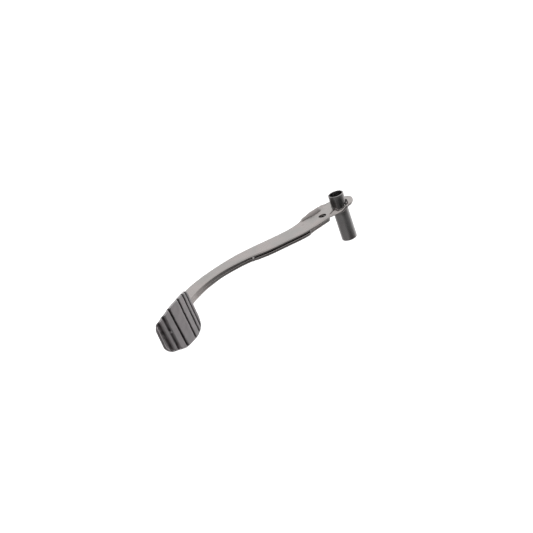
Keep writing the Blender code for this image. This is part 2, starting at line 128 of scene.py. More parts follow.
def bent(x, z):
    """How far inboard the eye's near side lies at a point of the plate."""
    if x <= 0.0:
        return 0.0
    side = smooth((math.radians(82.0) - math.atan2(z, x)) / math.radians(46.0))
    rise = max(0.0, z - 0.12 * max(0.0, x - 18.0))
    soft = 0.35
    deep = BEND_SLOPE * (math.sqrt(rise * rise + soft * soft) - soft)
    return side * min(BEND_DEPTH, deep)


def bend_start(low, up, w):
    for i in range(400, -1, -1):
        n = w * i / 400.0
        x, _, z = place(low, up, n, 0.0)
        if bent(x / MM, z / MM) <= 0.0:
            return n
    return w


def place_bent(low, up, n, y):
    x, _, z = place(low, up, n, 0.0)
    return (x, (y + bent(x / MM, z / MM)) * MM, z)


# ------------------------------------------------------------- mesh building
def rounded(corners):
    """Closed profile whose corners (u, v, radius, steps) are rounded; each
    corner gives steps + 1 points.  Returns the points and their roundness."""
    out, wear_and_light = [], []
    n = len(corners)
    for i, (u, v, r, steps) in enumerate(corners):
        p = Vector((u, v))
        a = Vector(corners[i - 1][:2]) - p
        b = Vector(corners[(i + 1) % n][:2]) - p
        ra = min(r, 0.48 * a.length)
        rb = min(r, 0.48 * b.length)
        pa = p + a.normalized() * ra if a.length > 1e-9 else p.copy()
        pb = p + b.normalized() * rb if b.length > 1e-9 else p.copy()
        for j in range(steps + 1):
            t = j / steps if steps else 0.5
            # A rational quadratic, weighted so that a square corner is round.
            w = 0.7071
            den = (1 - t) ** 2 + 2 * w * t * (1 - t) + t * t
            q = (pa * (1 - t) ** 2 + p * (2 * w * t * (1 - t)) + pb * (t * t)) / den
            out.append((q.x, q.y))
            wear_and_light.append(math.sin(math.pi * t) if steps > 2 else 0.0)
    return out, wear_and_light


def new_object(name, bm, angle=38.0):
    bmesh.ops.remove_doubles(bm, verts=bm.verts, dist=1e-7)
    bmesh.ops.dissolve_degenerate(bm, edges=bm.edges, dist=1e-7)
    bmesh.ops.recalc_face_normals(bm, faces=bm.faces)
    mesh = bpy.data.meshes.new(name)
    bm.to_mesh(mesh)
    bm.free()
    obj = bpy.data.objects.new(name, mesh)
    bpy.context.collection.objects.link(obj)
    finish_shading(obj, angle)
    return obj


def finish_shading(obj, angle):
    mesh = obj.data
    mesh.shade_smooth()
    mesh.set_sharp_from_angle(angle=math.radians(angle))


def loft(rings, wear_and_light_rows, us, vs, caps=None):
    """Closed solid through rings, with the UV map "run" along and around it
    (in metres) and a point attribute "wear"."""
    bm = bmesh.new()
    wear_and_painted_light = bm.verts.layers.float.new("wear_and_painted_light")
    uv = bm.loops.layers.uv.new("run")
    verts = []
    for ring, wear_and_light in zip(rings, wear_and_light_rows):
        row = []
        for p, w in zip(ring, wear_and_light):
            v = bm.verts.new(p)
            v[wear_and_painted_light] = w
            row.append(v)
        verts.append(row)
    n = len(verts[0])
    for k in range(len(verts) - 1):
        for i in range(n):
            j = (i + 1) % n
            f = bm.faces.new((verts[k][i], verts[k][j],
                              verts[k + 1][j], verts[k + 1][i]))
            vj = vs[k][j] if j else vs[k][-1] + vs[k][1] - vs[k][0]
            vj2 = vs[k + 1][j] if j else vs[k + 1][-1] + vs[k + 1][1] - vs[k + 1][0]
            for loop, t in zip(f.loops, ((us[k], vs[k][i]), (us[k], vj),
                                         (us[k + 1], vj2), (us[k + 1], vs[k + 1][i]))):
                loop[uv].uv = t
    for row, flip in ((verts[0], True), (verts[-1], False)):
        edges = []
        for i in range(n):
            e = bm.edges.get((row[i], row[(i + 1) % n]))
            if e is not None:
                edges.append(e)
        made = bmesh.ops.triangle_fill(bm, use_beauty=True, use_dissolve=False,
                                       edges=edges)
        for f in made["geom"]:
            if isinstance(f, bmesh.types.BMFace):
                for loop in f.loops:
                    loop[uv].uv = (loop.vert.co.x, loop.vert.co.z)
    return bm


def arc_lengths(rings):
    """Distance along the loft of each ring, and around the ring of each point."""
    us, vs, run = [], [], 0.0
    for k, ring in enumerate(rings):
        if k:
            run += sum((Vector(ring[i]) - Vector(rings[k - 1][i])).length
                       for i in range(0, len(ring), 3)) / max(1, len(range(0, len(ring), 3)))
        us.append(run)
        row, at = [], 0.0
        for i, p in enumerate(ring):
            if i:
                at += (Vector(p) - Vector(ring[i - 1])).length
            row.append(at)
        vs.append(row)
    return us, vs


def turned(name, corners, steps=144, ripple=None, angle=38.0, axis_y=0.0):
    """Solid of revolution about the Y axis from rounded corners (r, y)."""
    prof, wear_and_light = rounded(corners)
    bm = bmesh.new()
    wear_and_painted_light = bm.verts.layers.float.new("wear_and_painted_light")
    uv = bm.loops.layers.uv.new("run")
    n = len(prof)
    at = [0.0]
    for i in range(1, n + 1):
        a, b = prof[i % n], prof[i - 1]
        at.append(at[-1] + math.hypot(a[0] - b[0], a[1] - b[1]) * MM)
    rows = []
    for k in range(steps):
        a = 2.0 * math.pi * k / steps
        row = []
        for (r, y), w in zip(prof, wear_and_light):
            dr, dy = ripple(a, r, y) if ripple else (0.0, 0.0)
            v = bm.verts.new(((r + dr) * math.cos(a) * MM, (y + dy) * MM,
                              (r + dr) * math.sin(a) * MM))
            v[wear_and_painted_light] = w
            row.append(v)
        rows.append(row)
    mean = sum(r for r, _ in prof) / n * MM
    for k in range(steps):
        m = (k + 1) % steps
        for i in range(n):
            j = (i + 1) % n
            f = bm.faces.new((rows[k][i], rows[k][j], rows[m][j], rows[m][i]))
            u0 = 2.0 * math.pi * mean * k / steps
            u1 = 2.0 * math.pi * mean * (k + 1) / steps
            for loop, t in zip(f.loops, ((u0, at[i]), (u0, at[i + 1]),
                                         (u1, at[i + 1]), (u1, at[i]))):
                loop[uv].uv = t
    return new_object(name, bm, angle)


def carve(obj, cutter, operation="DIFFERENCE", angle=38.0):
    """Boolean, applied at once; the cutter goes away."""
    mod = obj.modifiers.new("carve", "BOOLEAN")
    mod.object = cutter
    mod.operation = operation
    mod.solver = "EXACT"
    dg = bpy.context.evaluated_depsgraph_get()
    made = bpy.data.meshes.new_from_object(obj.evaluated_get(dg),
                                           preserve_all_data_layers=True,
                                           depsgraph=dg)
    obj.modifiers.clear()
    old = obj.data
    obj.data = made
    made.name = obj.name
    bpy.data.meshes.remove(old)
    cut_mesh = cutter.data
    bpy.data.objects.remove(cutter, do_unlink=True)
    bpy.data.meshes.remove(cut_mesh)
    finish_shading(obj, angle)


def pin(name, x, z, profile, steps=96):
    """Cutter about an axis along Y through (x, z); profile is (r, y) points."""
    bm = bmesh.new()
    wear_and_painted_light = bm.verts.layers.float.new("wear_and_painted_light")
    bm.loops.layers.uv.new("run")
    rows = []
    for r, y in profile:
        row = []
        for k in range(steps):
            a = 2.0 * math.pi * k / steps
            v = bm.verts.new(((x + r * math.cos(a)) * MM, y * MM,
                              (z + r * math.sin(a)) * MM))
            v[wear_and_painted_light] = 0.6
            row.append(v)
        rows.append(row)
    for a, b in zip(rows, rows[1:]):
        for k in range(steps):
            m = (k + 1) % steps
            bm.faces.new((a[k], a[m], b[m], b[k]))
    bm.faces.new(rows[0])
    bm.faces.new(rows[-1])
    return new_object(name, bm)


def flared(r, y0, y1, faces, lip=0.3):
    """Profile of a hole's cutter, flared at the two plate faces it leaves by."""
    pts = [(r + lip + 0.02, y0)]
    for face, side in faces:
        run = []
        for i in range(6):
            a = 0.5 * math.pi * i / 5
            run.append((r + lip * (1 - math.sin(a)), face + side * lip * (1 - math.cos(a))))
        pts += run if side > 0 else run[::-1]
    pts.append((r + lip + 0.02, y1))
    return pts


# ------------------------------------------------------------- the arm's skins
def outer_section(s):
    low, up, _, f_low, f_up, lip = station(s)
    w = math.hypot(up[0] - low[0], up[1] - low[1])
    t, r = SHEET, EDGE_ROUND
    f_low, f_up = max(f_low, 0.06), max(f_up, 0.06)
    if OPEN_SEAM[0] < s < OPEN_SEAM[1] + 0.3:
        f_up = 0.06
    h = LIP_HEIGHT * lip
    k = smooth(h / 1.6)
    crest = 0.7
    foot = crest + 1.15 * h
    soft = smooth((s - 3.6) / 1.2) * smooth((8.7 - s) / 0.9)
    rn, ry = lerp(r, 3.9, soft), lerp(r, 2.5, soft)
    corner = [(w - rn + rn * math.cos(a), ry - ry * math.sin(a), 0.0, 0)
              for a in (0.5 * math.pi * i / 9.0 for i in range(10))]
    bend = min(bend_start(low, up, w), w - rn - 0.9)
    near = max(bend, foot + 3.0) if k > 0.0 else bend
    near = max(near - 1.0, 0.5 * w)
    lane = [(lerp(w - rn - 0.4, near, i / 7.0), 0.0, 0.0, 0) for i in range(8)]
    inside = w - 2.0 * t
    first, final = max(near, t + 0.45 * inside), w - t - min(0.5, 0.3 * inside)
    under = [(lerp(first, final, i / 6.0), t, 0.0, 0) for i in range(7)]
    crease = k * smooth((s - 4.4) / 0.8) * smooth((8.2 - s) / 0.8)
    corners = [(w, t + f_up, 0.1, 1)] + corner + lane + [
        (lerp(min(t + 1.8, 0.45 * w), foot + 1.2, k), 0.0, lerp(0.1, 0.5, k), 3),
        (lerp(min(t + 0.9, 0.40 * w), foot + 0.1, k), 0.4 * crease, lerp(0.1, 0.35, k), 3),
        (lerp(min(t + 0.3, 0.35 * w), crest, k), -max(h, 0.0), lerp(0.1, 0.6, k), 5),
        (0.0, -h + 0.3 * k, lerp(r, 0.5, k), 7),
        (0.0, t + f_low, 0.1, 1), (t, t + f_low, 0.1, 1), (t, t, 0.4, 2),
    ] + under + [(w - t, t, 0.2, 2), (w - t, t + f_up, 0.1, 1)]
    pts, wear_and_light = rounded(corners)
    for i in range(10):
        wear_and_light[2 + i] = math.sin(math.pi * i / 9.0)
    # Painted shade: the crease under the lip gets a negative value, which darkens it.
    for i in range(4):
        wear_and_light[24 + i] = -crease * (1.0, 0.7)[i in (0, 3)]
    return [place_bent(low, up, n, y) for n, y in pts], wear_and_light


def nose_edges(s):
    low, up = station(s)[:2]
    k = max(0.0, min(1.0, (s - INNER_FIRST) / NOSE_STATIONS))
    full = max(NOSE_FLAT, math.sqrt(1.0 - (1.0 - k) ** 2))
    mid = [0.5 * (a + b) for a, b in zip(low, up)]
    return ([lerp(m, a, full) for m, a in zip(mid, low)],
            [lerp(m, a, full) for m, a in zip(mid, up)], k)


def seam_gap(s):
    """Width of the crack in the upper seam beyond its open part."""
    if OPEN_SEAM[0] < s < OPEN_SEAM[1]:
        return SEAM_EDGE_Y - SHEET - 0.06
    if s >= OPEN_SEAM[1]:
        return 0.75 * (1.0 - smooth((s - OPEN_SEAM[1]) / 3.0))
    return 0.0


def inner_section(s):
    _, _, thick, f_low, f_up, _ = station(s)
    low, up, k = nose_edges(s)
    w = math.hypot(up[0] - low[0], up[1] - low[1])
    thick -= 1.2 * (1.0 - k) ** 3
    t, r = SHEET_INNER, 1.9
    y_low = SHEET + max(f_low, 0.06)
    up_edge = 0.06 if OPEN_SEAM[0] < s < OPEN_SEAM[1] + 0.3 else max(f_up, 0.06)
    y_up = SHEET + up_edge + seam_gap(s)
    ramp = 0.07
    rise = SEAM_STEP * min(smooth((s - OPEN_SEAM[0]) / ramp),
                           smooth((OPEN_SEAM[1] - s) / ramp))
    top = w + rise
    corners = [
        (top, y_up, 0.35, 3), (top, thick, r, 7), (0.0, thick, r, 7),
        (0.0, y_low, 0.1, 1), (t, y_low, 0.1, 1), (t, thick - t, 0.5, 2),
        (top - t, thick - t, 0.5, 2), (top - t, y_up, 0.25, 2),
    ]
    pts, wear_and_light = rounded(corners)
    return [place(low, up, n, y) for n, y in pts], wear_and_light


def section_numbers(first, last):
    numbers = []
    steps = int(round((last - first) * ARM_SEGMENTS))
    for i in range(steps + 1):
        numbers.append(lerp(first, last, i / steps))
    for edge in (OPEN_SEAM[0], OPEN_SEAM[1]):
        numbers += [edge + d for d in (-0.002, 0.002, 0.02, -0.02, 0.035, -0.035,
                                       0.05, -0.05, 0.07, -0.07)]
    numbers += [OPEN_SEAM[1] + 0.299, OPEN_SEAM[1] + 0.301]
    if first > 0.0:
        numbers += [first + NOSE_STATIONS * k
                    for k in (0.015, 0.03, 0.06, 0.09, 0.13, 0.2, 0.3, 0.4)]
    else:
        numbers += [first + k for k in (0.01, 0.03)]
    out = []
    for n in sorted(numbers):
        if first <= n <= last and (not out or n - out[-1] > 1.5e-3):
            out.append(n)
    return out


def build_arm(steel):
    made = []
    for name, section, numbers, node in (
            ("arm_outer_skin", outer_section,
             section_numbers(0.0, len(STATIONS) - 1.0), "arm_outer_shell"),
            ("arm_inner_skin", inner_section,
             section_numbers(INNER_FIRST, INNER_LAST), "arm_inner_shell")):
        rings, wear_and_light_rows = zip(*[section(s) for s in numbers])
        us, vs = arc_lengths(rings)
        obj = new_object(name, loft(rings, wear_and_light_rows, us, vs))
        made.append(obj)
        if name == "arm_outer_skin":
            carve(obj, pin("cut_tube", 0, 0, [(TUBE_R + 0.02, -12), (TUBE_R + 0.02, 12)], 144))
            carve(obj, pin("cut_rod", *ROD_HOLE,
                           flared(ROD_HOLE_R, -12, 12, [(0.0, 1), (SHEET, -1)])))
        else:
            carve(obj, pin("cut_rod", *ROD_HOLE, [(ROD_HOLE_R, -12), (ROD_HOLE_R, 20)]))
        weighted(obj)
        obj.data.materials.clear()
        obj.data.materials.append(steel)
        settle(obj, "pedal", "plated_arm", node)
    return made


def weighted(obj):
    mod = obj.modifiers.new("weighted", "WEIGHTED_NORMAL")
    mod.mode = "FACE_AREA"
    mod.keep_sharp = True
    mod.weight = 60


def settle(obj, body, slot, *nodes):
    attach(obj, body)
    if nodes:
        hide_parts(*nodes)


# ------------------------------------------------------------------- foot pad
GROOVES = [
    (206.4, 0.95, 1.4, 0.0, 0.0), (211.7, 1.25, 1.9, 0.0, 0.1),
    (220.8, 1.4, 2.2, -0.01, 0.15), (237.5, 1.7, 2.6, -0.045, 0.15),
    (249.3, 2.7, 3.2, -0.035, 0.3), (258.3, 3.0, 3.3, -0.06, 0.4),
]
GROOVE_SKEW = 0.3
PAD_OUTLINE = [
    (204.0, -8.7), (206.6, -12.6), (213.0, -13.5), (222.1, -13.45),
    (236.2, -12.6), (248.3, -10.3), (257.8, -8.1), (263.3, -5.5),
    (265.8, -1.5), (265.7, 4.0), (264.9, 15.0), (263.8, 22.3),
    (257.6, 29.5), (248.0, 33.5), (236.1, 37.9), (224.0, 38.4),
    (212.5, 37.6), (204.1, 32.9), (201.0, 24.1), (202.0, 8.0),
]


def pad_height(x, v, edge):
    """Height of the tread across its ribs at x, along them at v, with the
    distance to the outline; the grooves run out before the edge."""
    drop = 0.0
    wander = 0.22 * noise.noise(Vector((v * 0.11, x * 0.02, 4.0)))
    fade = smooth((edge + 0.1 + 0.8 * smooth((-4.0 - v) / 4.0)) / 2.2)
    for i, (gx, half, depth, slope, flat) in enumerate(GROOVES):
        at = gx + slope * (v - 12.0) + wander + 0.12 * noise.noise(Vector((v * 0.3, 7.0 * i, 0.0)))
        low = at + GROOVE_SKEW * half * (1.0 - 2.0 * flat)
        run = (low - (at - half)) if x < low else (at + half - low)
        d = abs(x - low) / run
        if d < 1.0:
            deep = depth * (1.0 + 0.25 * noise.noise(Vector((v * 0.16, 3.0 * i, 1.0))))
            drop = max(drop, deep * (1.0 - smooth((d - flat) / (1.0 - flat))) * fade)
    bow = 0.9 * ((x - 232.0) / 32.0) ** 2
    bow += 0.035 * max(0.0, 224.0 - x) + 0.05 * max(0.0, x - 252.0)
    rim = max(0.0, 1.0 - abs(edge - 2.5) / 0.8) * smooth((x - 255.0) / 5.0)
    dent = math.hypot((x - 248.3) / 1.5, (v - 10.4) / 1.6)
    drop += 0.35 * smooth(rim)
    # A small raised burr; its mask is also returned to paint a highlight on it.
    burr_glint = smooth(1.0 - dent)
    drop = max(0.3, drop - 1.6 * burr_glint) if dent < 1.0 else drop
    ripple = 0.10 * noise.noise(Vector((x * 0.16, v * 0.13, 2.0))) * smooth(edge / 3.0)
    return PAD_TOP_Z - 0.12 - drop - bow + ripple, drop, burr_glint


def closed_spline(points, per):
    out = []
    n = len(points)
    for i in range(n):
        p = [points[(i + j - 1) % n] for j in range(4)]
        for k in range(per):
            u = k / per
            out.append(Vector([catmull(*[q[c] for q in p], u) for c in (0, 1)]))
    return out


def along_ribs(p):
    """Pad point (x, y) in the ribs' own frame: across them, and along them."""
    dx, dy = p[0] - PAD_CENTRE[0], p[1] - PAD_CENTRE[1]
    c, s = math.cos(PAD_YAW), math.sin(PAD_YAW)
    return PAD_CENTRE[0] + dx * c - dy * s, PAD_CENTRE[1] + dx * s + dy * c


def from_ribs(u, v):
    du, dv = u - PAD_CENTRE[0], v - PAD_CENTRE[1]
    c, s = math.cos(PAD_YAW), math.sin(PAD_YAW)
    return Vector((PAD_CENTRE[0] + du * c + dv * s, PAD_CENTRE[1] - du * s + dv * c))


def build_pad(tread):
    """Pressed sheet: a fine net over the outline, rolled down at its edge."""
    outline = closed_spline(PAD_OUTLINE, 12)
    n = len(outline)

    def inset(d):
        out = []
        for i, p in enumerate(outline):
            a, b = outline[i - 1], outline[(i + 1) % n]
            t = (b - a).normalized()
            out.append(p + Vector((-t.y, t.x)) * d)
        return out

    area = sum(outline[i - 1].x * outline[i].y - outline[i].x * outline[i - 1].y
               for i in range(n))
    turn = 1.0 if area > 0 else -1.0
    steps = [0.0, 0.09, 0.22, 0.42, 0.7, 1.0, 1.4]
    points, drops = [], []
    for d in steps:
        k = max(0.0, 1.0 - d / 1.0)
        fall = 1.0 * (1.0 - math.sqrt(max(0.0, 1.0 - k * k)))
        for p in inset(d * turn):
            points.append(p)
            drops.append(fall)
    # Net of the flat part, fine across the ribs.
    us = []
    u = 200.0
    while u < 268.0:
        near = min(abs(u - g[0]) / g[1] for g in GROOVES)
        us.append(u)
        u += 0.2 if near < 1.5 else (0.45 if u > 254.0 else 0.8)
    guard = inset(1.8 * turn)
    for u in us:
        v = -16.0
        while v < 41.0:
            p = from_ribs(u, v)
            if inside(p, guard):
                points.append(p)
                drops.append(0.0)
            v += 0.9 if u > 254.0 or abs(v - 10.4) < 2.2 else 1.6
    edges = [(i, (i + 1) % n) for i in range(n)]
    for ring in range(1, len(steps)):
        edges += [(ring * n + i, ring * n + (i + 1) % n) for i in range(n)]
    co, _, faces, orig, _, _ = geometry.delaunay_2d_cdt(points, edges, [list(range(n))],
                                                        1, 1e-6)
    tree = kdtree.KDTree(8 * n)
    for i, p in enumerate(outline):
        for j in range(8):
            q = p.lerp(outline[(i + 1) % n], j / 8.0)
            tree.insert((q.x, q.y, 0.0), 8 * i + j)
    tree.balance()
    bm = bmesh.new()
    wear_and_painted_light = bm.verts.layers.float.new("wear_and_painted_light")
    uv = bm.loops.layers.uv.new("run")
    tops, unders = [], []
    for i, p in enumerate(co):
        drop = drops[orig[i][0]] if orig[i] else 0.0
        u, v = along_ribs(p)
        z, cut, burr_glint = pad_height(u, v, tree.find((p.x, p.y, 0.0))[2])
        crest = max(0.0, 1.0 - abs(z - (PAD_TOP_Z - 0.9 * ((u - 232.0) / 32.0) ** 2)) / 0.5)
        top = bm.verts.new((p.x * MM, p.y * MM, (z - drop) * MM))
        top[wear_and_painted_light] = 0.35 * crest + (0.6 if 0.0 < drop < 0.6 else 0.0)
        # Painted shade: the grooves are darkened by their depth.
        wide = smooth((u - 238.5) / 2.0)
        deep = lerp(1.15 * smooth((cut - 0.1) / 0.9), 0.66 * smooth((cut - 0.45) / 1.3), wide)
        deep *= smooth((264.0 - u) / 2.5)
        top[wear_and_painted_light] -= deep * (1.0 + 0.9 * noise.noise(Vector((u * 0.3, v * 0.16, 9.0))))
        # Painted highlight: a glint on the burr, and the front strip painted lighter as if lit.
        top[wear_and_painted_light] += 3.0 * burr_glint + 0.7 * smooth((u - 262.3) / 1.2)
        under = bm.verts.new((p.x * MM, p.y * MM, (z - PAD_SHEET + 0.35 * drop
                                                       + 0.5 * cut) * MM))
        tops.append(top)
        unders.append(under)
    for f in faces:
        bm.faces.new([tops[i] for i in f])
        bm.faces.new([unders[i] for i in reversed(f)])
    border = {}
    for f in faces:
        for a, b in zip(f, f[1:] + f[:1]):
            border[(a, b)] = border.get((a, b), 0) + 1
    for a, b in border:
        if (b, a) not in border:
            bm.faces.new((tops[b], tops[a], unders[a], unders[b]))
    for f in bm.faces:
        for loop in f.loops:
            u, v = along_ribs((loop.vert.co.x / MM, loop.vert.co.y / MM))
            loop[uv].uv = (v * MM, u * MM)
    pad = new_object("tread_skin", bm, 50.0)
    pad.data.materials.append(tread)
    settle(pad, "pedal", "plated_tread", "foot_pad")
    return pad


def inside(p, loop):
    hit = False
    n = len(loop)
    for i in range(n):
        a, b = loop[i - 1], loop[i]
        if (a.y > p.y) != (b.y > p.y):
            if p.x < (b.x - a.x) * (p.y - a.y) / (b.y - a.y) + a.x:
                hit = not hit
    return hit


# ------------------------------------------------------------- pivot and welds
def build_pivot(tube_mat, bronze, rubber, zinc):
    tube = turned("pivot_tube_skin", [
        (TUBE_R, TUBE_Y0, 0.45, 5), (TUBE_R, TUBE_Y1, 1.1, 7),
        (TUBE_BORE, TUBE_Y1, 0.35, 3), (TUBE_BORE, TUBE_Y0, 0.35, 3),
    ], 192)
    long_sides(tube, TUBE_Y0, TUBE_Y1)
    tube.data.materials.append(tube_mat)
    settle(tube, "pedal", "plated_tube", "pivot_tube")
    for node, mat, slot in (("bush_outer", bronze, "bush_bronze"),
                            ("bush_inner", bronze, "bush_bronze")):
        lo, hi = mm_box(node)
        r, y0, y1 = 0.5 * (hi[0] - lo[0]), lo[1], hi[1]
        obj = turned(node + "_skin", [
            (r, y0, 0.5, 4), (r, y1, 0.5, 4), (5.9, y1, 0.4, 4), (5.9, y0, 0.4, 4),
        ], 128)
        obj.data.materials.append(mat)
        settle(obj, "pedal", slot, node)
    for node in ("seal_outer", "seal_inner"):
        lo, hi = mm_box(node)
        r, y0, y1 = 0.5 * (hi[0] - lo[0]), lo[1], hi[1]
        ym = 0.5 * (y0 + y1)
        obj = turned(node + "_skin", [
            (r, y0, 0.3, 3), (r, y1, 0.3, 3), (6.45, y1, 0.12, 2),
            (6.3, y1 - 0.18 * (y1 - y0), 0.1, 2), (6.1, y1, 0.12, 2), (5.85, ym, 0.12, 3),
            (6.1, y0, 0.12, 2), (6.3, y0 + 0.18 * (y1 - y0), 0.1, 2), (6.45, y0, 0.12, 2),
        ], 128)
        obj.data.materials.append(rubber)
        settle(obj, "pedal", "seal_rubber", node)
    lo, hi = mm_box("pivot_collar")
    r, y0, y1 = 0.5 * (hi[0] - lo[0]), lo[1], hi[1]
    collar = turned("pivot_collar_skin", [
        (r, y0, 0.35, 4), (r, y1, 0.35, 4), (4.1, y1, 0.35, 4), (4.1, y0, 0.35, 4),
    ], 128)
    long_sides(collar, y0, y1)
    collar.data.materials.append(zinc)
    settle(collar, "collar", "collar_zinc", "pivot_collar")


def long_sides(obj, y0, y1):
    """Adds rings along a turned piece, so long quads don't stay whole."""
    bm = bmesh.new()
    bm.from_mesh(obj.data)
    count = max(2, int((y1 - y0) / 6.0))
    for i in range(1, count):
        y = lerp(y0, y1, i / count) * MM
        bmesh.ops.bisect_plane(bm, geom=bm.verts[:] + bm.edges[:] + bm.faces[:],
                               plane_co=(0, y, 0), plane_no=(0, 1, 0), dist=1e-7)
    bm.to_mesh(obj.data)
    bm.free()
    finish_shading(obj, 38.0)


def bead(name, path, across, leg, pitch, seed, swell=0.2):
    """Rippled fillet bead along a path of points (mm).  across(i) gives the two
    leg directions; leg is a number or a function of distance along the path."""
    run = [0.0]
    for a, b in zip(path, path[1:]):
        run.append(run[-1] + (Vector(b) - Vector(a)).length)
    total = run[-1]
    count = max(8, int(total / 0.22))
    rings, wear_and_light_rows = [], []
    for i in range(count + 1):
        d = total * i / count
        j = max(0, min(len(path) - 2, next((q for q in range(len(run) - 1)
                                             if run[q + 1] >= d), len(path) - 2)))
        k = (d - run[j]) / max(1e-9, run[j + 1] - run[j])
        c = Vector(path[j]).lerp(Vector(path[j + 1]), k)
        u, v = across(j + k)
        ends = min(1.0, math.sqrt(max(0.0, min(d, total - d)) / 1.6 + 0.05))
        phase = (d / pitch + 0.35 * noise.noise(Vector((d * 0.4, seed, 0.0)))) % 1.0
        ring = 1.0 - 0.16 * (2.0 * phase - 1.0) ** 2 - 0.10 * phase
        size = (leg(d / total) if callable(leg) else leg) * ends * ring
        size *= 1.0 + swell * noise.noise(Vector((d * 0.55, seed * 3.1, 1.7)))
        pts, wear_and_light = [], []
        for q in range(11):
            a = 0.5 * math.pi * q / 10
            bulge = 1.0 + 0.10 * math.sin(2 * a)
            wob = 1.0 + 0.05 * noise.noise(Vector((d * 1.9, a * 2.2, seed)))
            pts.append(tuple((c + (u * math.cos(a) + v * math.sin(a))
                              * size * bulge * wob * 0.86) * MM))
            wear_and_light.append(0.3 * ring)
        for q in (0.66, 0.33, 0.0):
            pts.append(tuple((c + v * size * 0.86 * q) * MM))
            wear_and_light.append(0.0)
        for q in (0.33, 0.66):
            pts.append(tuple((c + u * size * 0.86 * q) * MM))
            wear_and_light.append(0.0)
        rings.append(pts)
        wear_and_light_rows.append(wear_and_light)
    us, vs = arc_lengths(rings)
    return new_object(name, loft(rings, wear_and_light_rows, us, vs), 60.0)


def ring_path(radius, y, steps=180):
    pts = []
    for i in range(steps + 1):
        a = 2.0 * math.pi * i / steps
        pts.append((radius * math.cos(a), y, radius * math.sin(a)))
    return pts


def ring_bead(name, radius, y, side, leg, pitch, seed, painted_shading=lambda a: 0.0):
    """Rippled fillet all round the tube; leg is a function of the angle."""
    steps = 360
    bm = bmesh.new()
    wear_and_painted_light = bm.verts.layers.float.new("wear_and_painted_light")
    uv = bm.loops.layers.uv.new("run")
    rows = []
    count = max(3, int(round(2 * math.pi * radius / pitch)))
    for k in range(steps):
        a = 2.0 * math.pi * k / steps
        turn = Vector((math.cos(a), 0.0, math.sin(a)))
        phase = (a / (2 * math.pi) * count + 0.45 * noise.noise(turn * 1.6 + Vector((seed, 0, 0)))) % 1.0
        ring = 1.0 - 0.20 * (2.0 * phase - 1.0) ** 2 - 0.10 * phase
        size = leg(a) * ring * (1.0 + 0.22 * noise.noise(turn * 2.6 + Vector((0, seed, 0))))
        row = []
        for q in range(13):
            b = 0.5 * math.pi * q / 12
            bulge = (1.0 + 0.12 * math.sin(2 * b)) * 0.86
            wob = 1.0 + 0.10 * noise.noise(turn * 7.0 + Vector((0, b * 2.0, seed)))
            out = math.cos(b) * size * bulge * wob
            deep = math.sin(b) * size * bulge * wob
            sag = bent((radius + out) * turn.x, (radius + out) * turn.z)
            v = bm.verts.new(((radius + out) * turn.x * MM,
                              (y + side * deep + sag) * MM,
                              (radius + out) * turn.z * MM))
            # The shading function paints shade along the bead by angle, here the crevice.
            v[wear_and_painted_light] = 0.3 * ring - 1.2 * painted_shading(a)
            row.append(v)
        sag = bent(radius * turn.x, radius * turn.z)
        v = bm.verts.new((radius * turn.x * MM, (y + sag) * MM, radius * turn.z * MM))
        row.append(v)
        rows.append(row)
    for k in range(steps):
        m = (k + 1) % steps
        for i in range(len(rows[0])):
            j = (i + 1) % len(rows[0])
            f = bm.faces.new((rows[k][i], rows[k][j], rows[m][j], rows[m][i]))
            u0, u1 = (2 * math.pi * radius * t / steps * MM for t in (k, k + 1))
            for loop, t in zip(f.loops, ((u0, i * 2e-4), (u0, (i + 1) * 2e-4),
                                         (u1, (i + 1) * 2e-4), (u1, i * 2e-4))):
                loop[uv].uv = t
    return new_object(name, bm, 60.0)


def lump(name, centre, size, seed, squash=(1.0, 1.0, 1.0), painted_shading=0.3):
    """Irregular drop of weld metal."""
    bm = bmesh.new()
    bmesh.ops.create_icosphere(bm, subdivisions=4, radius=1.0)
    wear_and_painted_light = bm.verts.layers.float.new("wear_and_painted_light")
    uv = bm.loops.layers.uv.new("run")
    for v in bm.verts:
        p = v.co.normalized()
        r = 1.0 + 0.22 * noise.noise(p * 1.5 + Vector((seed, 0, 0))) \
            + 0.08 * noise.noise(p * 4.0 + Vector((0, seed, 0)))
        v.co = Vector((centre[0] + p.x * r * size * squash[0],
                       centre[1] + p.y * r * size * squash[1],
                       centre[2] + p.z * r * size * squash[2])) * MM
        # The whole drop gets one painted value: a highlight above zero, shade below.
        v[wear_and_painted_light] = painted_shading
    for f in bm.faces:
        for loop in f.loops:
            loop[uv].uv = (loop.vert.co.x, loop.vert.co.z)
    return new_object(name, bm, 60.0)


